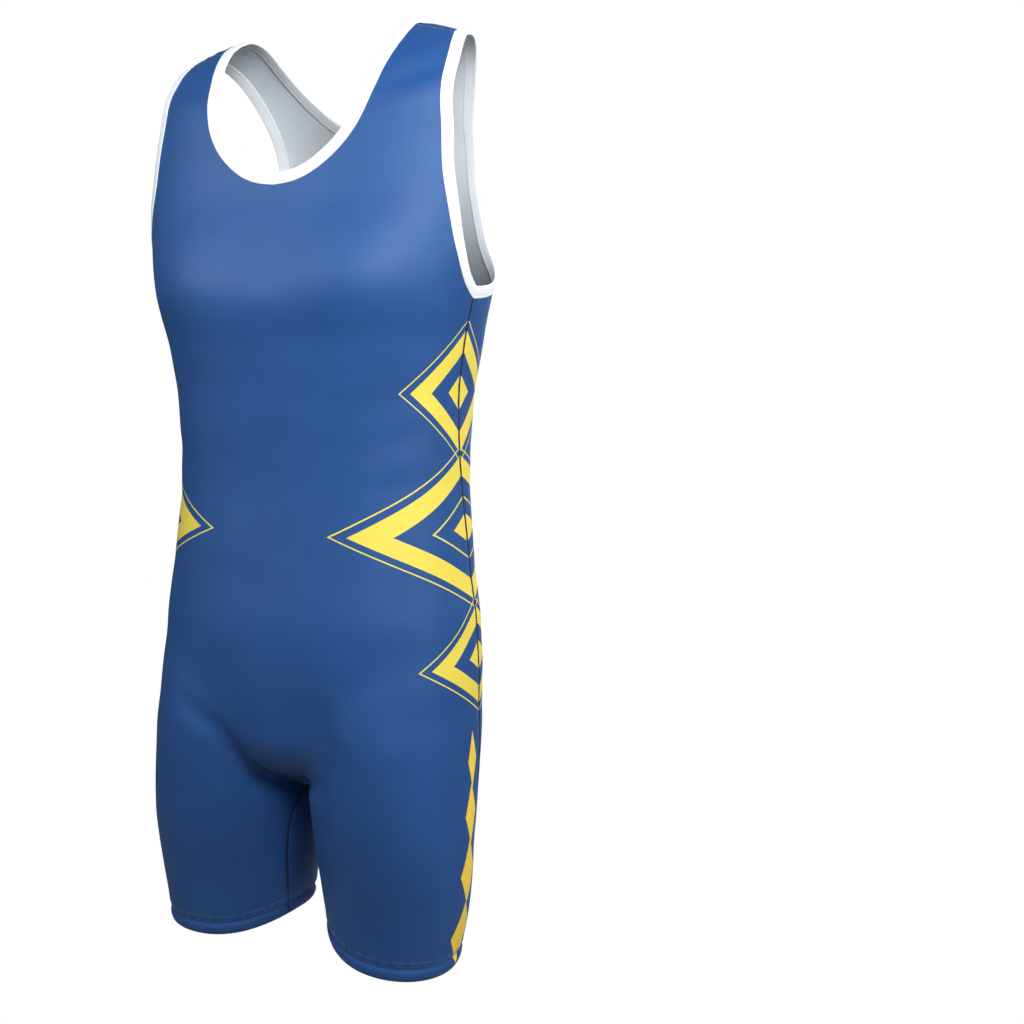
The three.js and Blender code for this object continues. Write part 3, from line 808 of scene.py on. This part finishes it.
# ------------------------------------------------------------------ bindings
# Across the tape: reach from the panel-side edge, height off the middle of the cloth
TAPE_OUT = [(-0.25, 0.35), (-0.3, 0.8), (0.0, 1.15), (0.7, 1.3), (1.5, 1.22), (2.1, 1.05), (2.7, 1.24),
            (4.2, 1.4), (6.5, 1.48), (8.6, 1.45)]
FOLD_R = 1.45
FOLD_TURNS = np.radians([20, 50, 75, 90, 105, 130, 160])
TAPE_FOLD = [(BINDING + FOLD_R * math.sin(a), FOLD_R * math.cos(a)) for a in FOLD_TURNS]
TAPE_IN = [(8.6, -1.42), (6.0, -1.4), (3.0, -1.35), (2.1, -1.15), (1.2, -1.3), (-0.6, -1.25), (-0.9, -0.9),
           (-0.85, -0.4), (4.0, -0.5), (9.3, -0.45), (9.6, 0.0), (9.3, 0.45), (4.0, 0.5)]
TAPE_SECTION = np.array([*TAPE_OUT, *TAPE_FOLD, *TAPE_IN])
TAPE_WAVE = 0.07  # how unevenly the tape lies
THREAD_R, THIN_THREAD_R = 0.2, 0.16
# The tape's row of stitches: reach and height as above, from one to the next, and how much of that is thread
TAPE_ROW, TAPE_ROW_HEIGHT, TAPE_STEP, TAPE_SHARE = 2.1, 1.12, 2.6, 0.78


def over_shoulder(parts):
    return np.concatenate([parts[FRONT][1:][::-1], parts[BACK]])


def tape_ring(name, solid, line, raw):
    """A tape round an edge, in place of one solid of the part, and the row of stitches on it."""
    n_line, n_raw = normals_at(line), normals_at(raw)
    out = unit(raw - line)
    base = relief(line)
    sections = []
    for a, h in TAPE_SECTION:
        t = np.clip(a / BINDING, 0, 1)
        beyond = a - BINDING * t
        p = line + (raw - line) * t + out * beyond
        n = n_line * (1 - t) + n_raw * t
        wave = TAPE_WAVE * waves(line, 9, 12) * (1 if h > 0 else 0.5)
        sections.append(p + n * (h + base + wave)[:, None])
    ring = sweep(name, np.stack(sections, 1), white_tape)
    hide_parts(solid)
    at = line + (raw - line) * (TAPE_ROW / BINDING) + n_line * (TAPE_ROW_HEIGHT + base)[:, None]
    path = resample(np.concatenate([at, at[:1]]), TAPE_STEP)
    way = np.roll(path, -1, 0) - path
    return path, path + way * TAPE_SHARE, normals_at(path), THREAD_R


loop = over_shoulder(neck), over_shoulder(neck_raw)
whole = [np.concatenate([half, half[1:-1][::-1] * MIRROR]) for half in loop]
thread_groups = [tape_ring("neck_binding_tape", "neck_binding", *whole)]
arm_line, arm_raw = over_shoulder(armhole)[1:], over_shoulder(armhole_raw)[1:]
for flip, name in WEARER_SIDES:
    solid = name + "_armhole_binding"
    thread_groups.append(tape_ring(name + "_armhole_tape", solid, arm_line * flip, arm_raw * flip))
binding_threads = stitches("binding_stitches", thread_groups, white_thread)

# ------------------------------------------------------------------ turned hems
# reach above the leg end, offset from the middle of the outer cloth
HEM_SECTION = [(HEM_FOLD, 0.45), (0.9, 0.42), (0.4, 0.2), (0.1, -0.15), (0.0, -0.6), (0.1, -1.05),
               (0.5, -1.4), (1.2, -1.55), (6.0, -1.75), (12.0, -1.7), (HEM_DEPTH, -1.4),
               (HEM_DEPTH + 0.3, -1.0), (HEM_DEPTH, -0.6), (12.0, -0.85), (6.0, -0.85), (1.5, -0.6)]
# Two rows of stitches round each leg, above and below the edge of the fold
HEM_STITCH_ROWS = (HEM_DEPTH + 1.5, HEM_DEPTH - 3.5)
HEM_STITCHES, HEM_SHARE = 170, 0.72
THREAD_SINK = 0.05


def leg_ring(row):
    return np.concatenate([body[FRONT][row], body[BACK][row][1:-1][::-1]])


def row_above_end(up_by):
    return np.argmin(np.abs(heights - (LEG_END + up_by)))


hem_groups = []
for flip, name in WEARER_SIDES:
    # the normals at the leg's end are laid level, so that the fold stands upright there
    low, high = leg_ring(-1) * flip, leg_ring(row_above_end(HEM_DEPTH)) * flip
    n_low = unit(normals_at(low) * (1, 1, 0))
    n_high = normals_at(high)
    sections = []
    for rise, off in HEM_SECTION:
        t = np.clip((rise - HEM_FOLD) / (HEM_DEPTH - HEM_FOLD), 0, None)
        p = low + (high - low) * t
        p[:, 2] += min(rise - HEM_FOLD, 0)
        n = n_low * (1 - min(t, 1)) + n_high * min(t, 1)
        sections.append(p + n * (off + settled(p))[:, None])
    hem = sweep(name + "_leg_hem_fold", np.stack(sections, 1), outside_cloth)
    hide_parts(name + "_leg_hem")
    cover = []
    for up_by in HEM_STITCH_ROWS:
        ring = leg_ring(row_above_end(up_by)) * flip
        ring = np.concatenate([ring, ring[:1]])
        length = np.linalg.norm(np.diff(ring, axis=0), axis=1).sum()
        path = resample(ring, length / HEM_STITCHES)[:HEM_STITCHES]
        up = normals_at(path)
        path = path + up * (CLOTH / 2 + settled(path) - THREAD_SINK)[:, None]
        way = np.roll(path, -1, 0) - path
        hem_groups.append((path, path + way * HEM_SHARE, up, THREAD_R))
        cover.append((path, up))
    (upper, up), (lower, _) = cover
    hem_groups.append((upper, lower + (np.roll(lower, -1, 0) - lower) * 0.5, up, THREAD_R))
hem_threads = stitches("hem_stitches", hem_groups, light_thread)

# ------------------------------------------------------------------ seams
# A flat seam: a low ridge of covering thread with a zigzag over it
SEAM_WIDTH, SHOULDER_SEAM_WIDTH, SEAM_RISE = 3.8, 2.8, 0.6
RIDGE_STEP, ZIGZAG_STEP, ZIGZAG_HEIGHT = 2.0, 1.5, 0.75
# across the ridge and up from its foot, as parts of its width and rise
SEAM_SECTION = [(-0.5, 0.0), (-0.42, 0.55), (-0.2, 0.95), (0, 1.0), (0.2, 0.95), (0.42, 0.55), (0.5, 0.0),
                (0, -0.6)]
seam_groups = []


def seam_frame(line, step):
    """Points along a seam, with the normal, the way along and the height of the cloth at each."""
    path = resample(line, step)
    along = unit(np.gradient(path, axis=0))
    return path, normals_at(path), along, settled(path) - SEAM_SINK + CLOTH / 2


def flat_seam(name, line, width=SEAM_WIDTH):
    path, n, along, lift = seam_frame(line, RIDGE_STEP)
    across = unit(np.cross(n, along))
    rings = []
    for a, h in SEAM_SECTION:
        rings.append(path + across * (width * a) + n * (lift + SEAM_RISE * h)[:, None])
    ridge = sweep(name, np.stack(rings, 1), navy_thread, closed=False)
    fine, up, along, lift = seam_frame(line, ZIGZAG_STEP)
    sideways = np.cross(up, along)
    top = fine + up * (lift + SEAM_RISE * ZIGZAG_HEIGHT)[:, None]
    left, right = top - sideways * width * 0.5, top + sideways * width * 0.5
    seam_groups.append((left[:-1], right[1:], up[:-1], THREAD_R))
    seam_groups.append((right[:-1:2], left[1::2], up[:-1:2], THIN_THREAD_R))


for flip, name in WEARER_SIDES:
    flat_seam(name + "_side_seam", body[FRONT][:, -1] * flip)
    flat_seam(name + "_shoulder_seam", yoke[FRONT][0] * flip, SHOULDER_SEAM_WIDTH)
below_fork = heights <= FORK
leg_line = body[FRONT][below_fork][:, 0]
flat_seam("inseam", np.concatenate([leg_line[::-1], leg_line[1:] * MIRROR]))
seam_threads = stitches("seam_stitches", seam_groups, navy_thread)

# ------------------------------------------------------------------ floor, light, camera
def white_to_the_eye(tree, shader, output):
    """Mixes a shader with plain white, which only the camera sees."""
    white = tree.nodes.new("ShaderNodeEmission")
    white.inputs["Color"].default_value = (1, 1, 1, 1)
    white.inputs["Strength"].default_value = 1.0
    mixed = tree.nodes.new("ShaderNodeMixShader")
    seen = tree.nodes.new("ShaderNodeLightPath").outputs["Is Camera Ray"]
    for value, socket in zip((seen, shader, white.outputs[0]), mixed.inputs):
        tree.links.new(value, socket)
    tree.links.new(mixed.outputs[0], output)


FLOOR_Z = -1.5
bpy.ops.mesh.primitive_plane_add(size=30, location=(0, 0, FLOOR_Z))
floor = bpy.context.object
floor.name = "floor"
m = Nodes("pale floor")
m.set(Base_Color=(0.35, 0.35, 0.35, 1), Roughness=0.9, Specular_IOR_Level=0.1)
white_to_the_eye(m.tree, m.shader.outputs[0], m.tree.nodes["Material Output"].inputs["Surface"])
floor.data.materials.append(m.material)


def area_light(name, place, aim, size, power):
    data = bpy.data.lights.new(name, "AREA")
    data.shape, data.size, data.energy = "SQUARE", size, power
    obj = bpy.data.objects.new(name, data)
    obj.location = place
    obj.rotation_euler = (Vector(aim) - Vector(place)).to_track_quat("-Z", "Y").to_euler()
    bpy.context.collection.objects.link(obj)


# name, place, what it points at, size, watts
area_light("key", (0.75, -0.82, 0.28), (0, 0, -0.1), 0.5, 15.5)
area_light("fill", (-0.75, -1.1, 0.3), (0, 0, -0.25), 0.9, 14)
area_light("back", (0.15, 1.15, 0.3), (0, 0, -0.25), 0.7, 21)
area_light("side", (1.5, 0.1, 0.2), (0, 0, -0.4), 1.0, 16)

world = bpy.data.worlds.new("white studio")
bpy.context.scene.world = world
world.use_nodes = True
shade = world.node_tree.nodes["Background"]
shade.inputs["Color"].default_value = (1, 1, 1, 1)
shade.inputs["Strength"].default_value = 0.06
white_to_the_eye(world.node_tree, shade.outputs[0], world.node_tree.nodes["World Output"].inputs["Surface"])
bpy.context.scene.view_settings.view_transform = "Standard"

AZIMUTH, DISTANCE, CAMERA_Z = 28.4, 1.3, -0.293
PITCH, YAW, ROLL = -7.34, 0.07, 0.3
camera_data = bpy.data.cameras.new("camera")
camera_data.sensor_width = 36
camera_data.lens = 46.17
camera_data.shift_x = 0.183
camera = bpy.data.objects.new("camera", camera_data)
bpy.context.collection.objects.link(camera)
a = math.radians(AZIMUTH)
turn = Matrix.Rotation(math.radians(AZIMUTH - YAW), 4, "Z")
turn = turn @ Matrix.Rotation(math.radians(90 + PITCH), 4, "X")
turn = turn @ Matrix.Rotation(math.radians(ROLL), 4, "Z")
camera.matrix_world = Matrix.Translation((DISTANCE * math.sin(a), -DISTANCE * math.cos(a), CAMERA_Z)) @ turn
bpy.context.scene.camera = camera
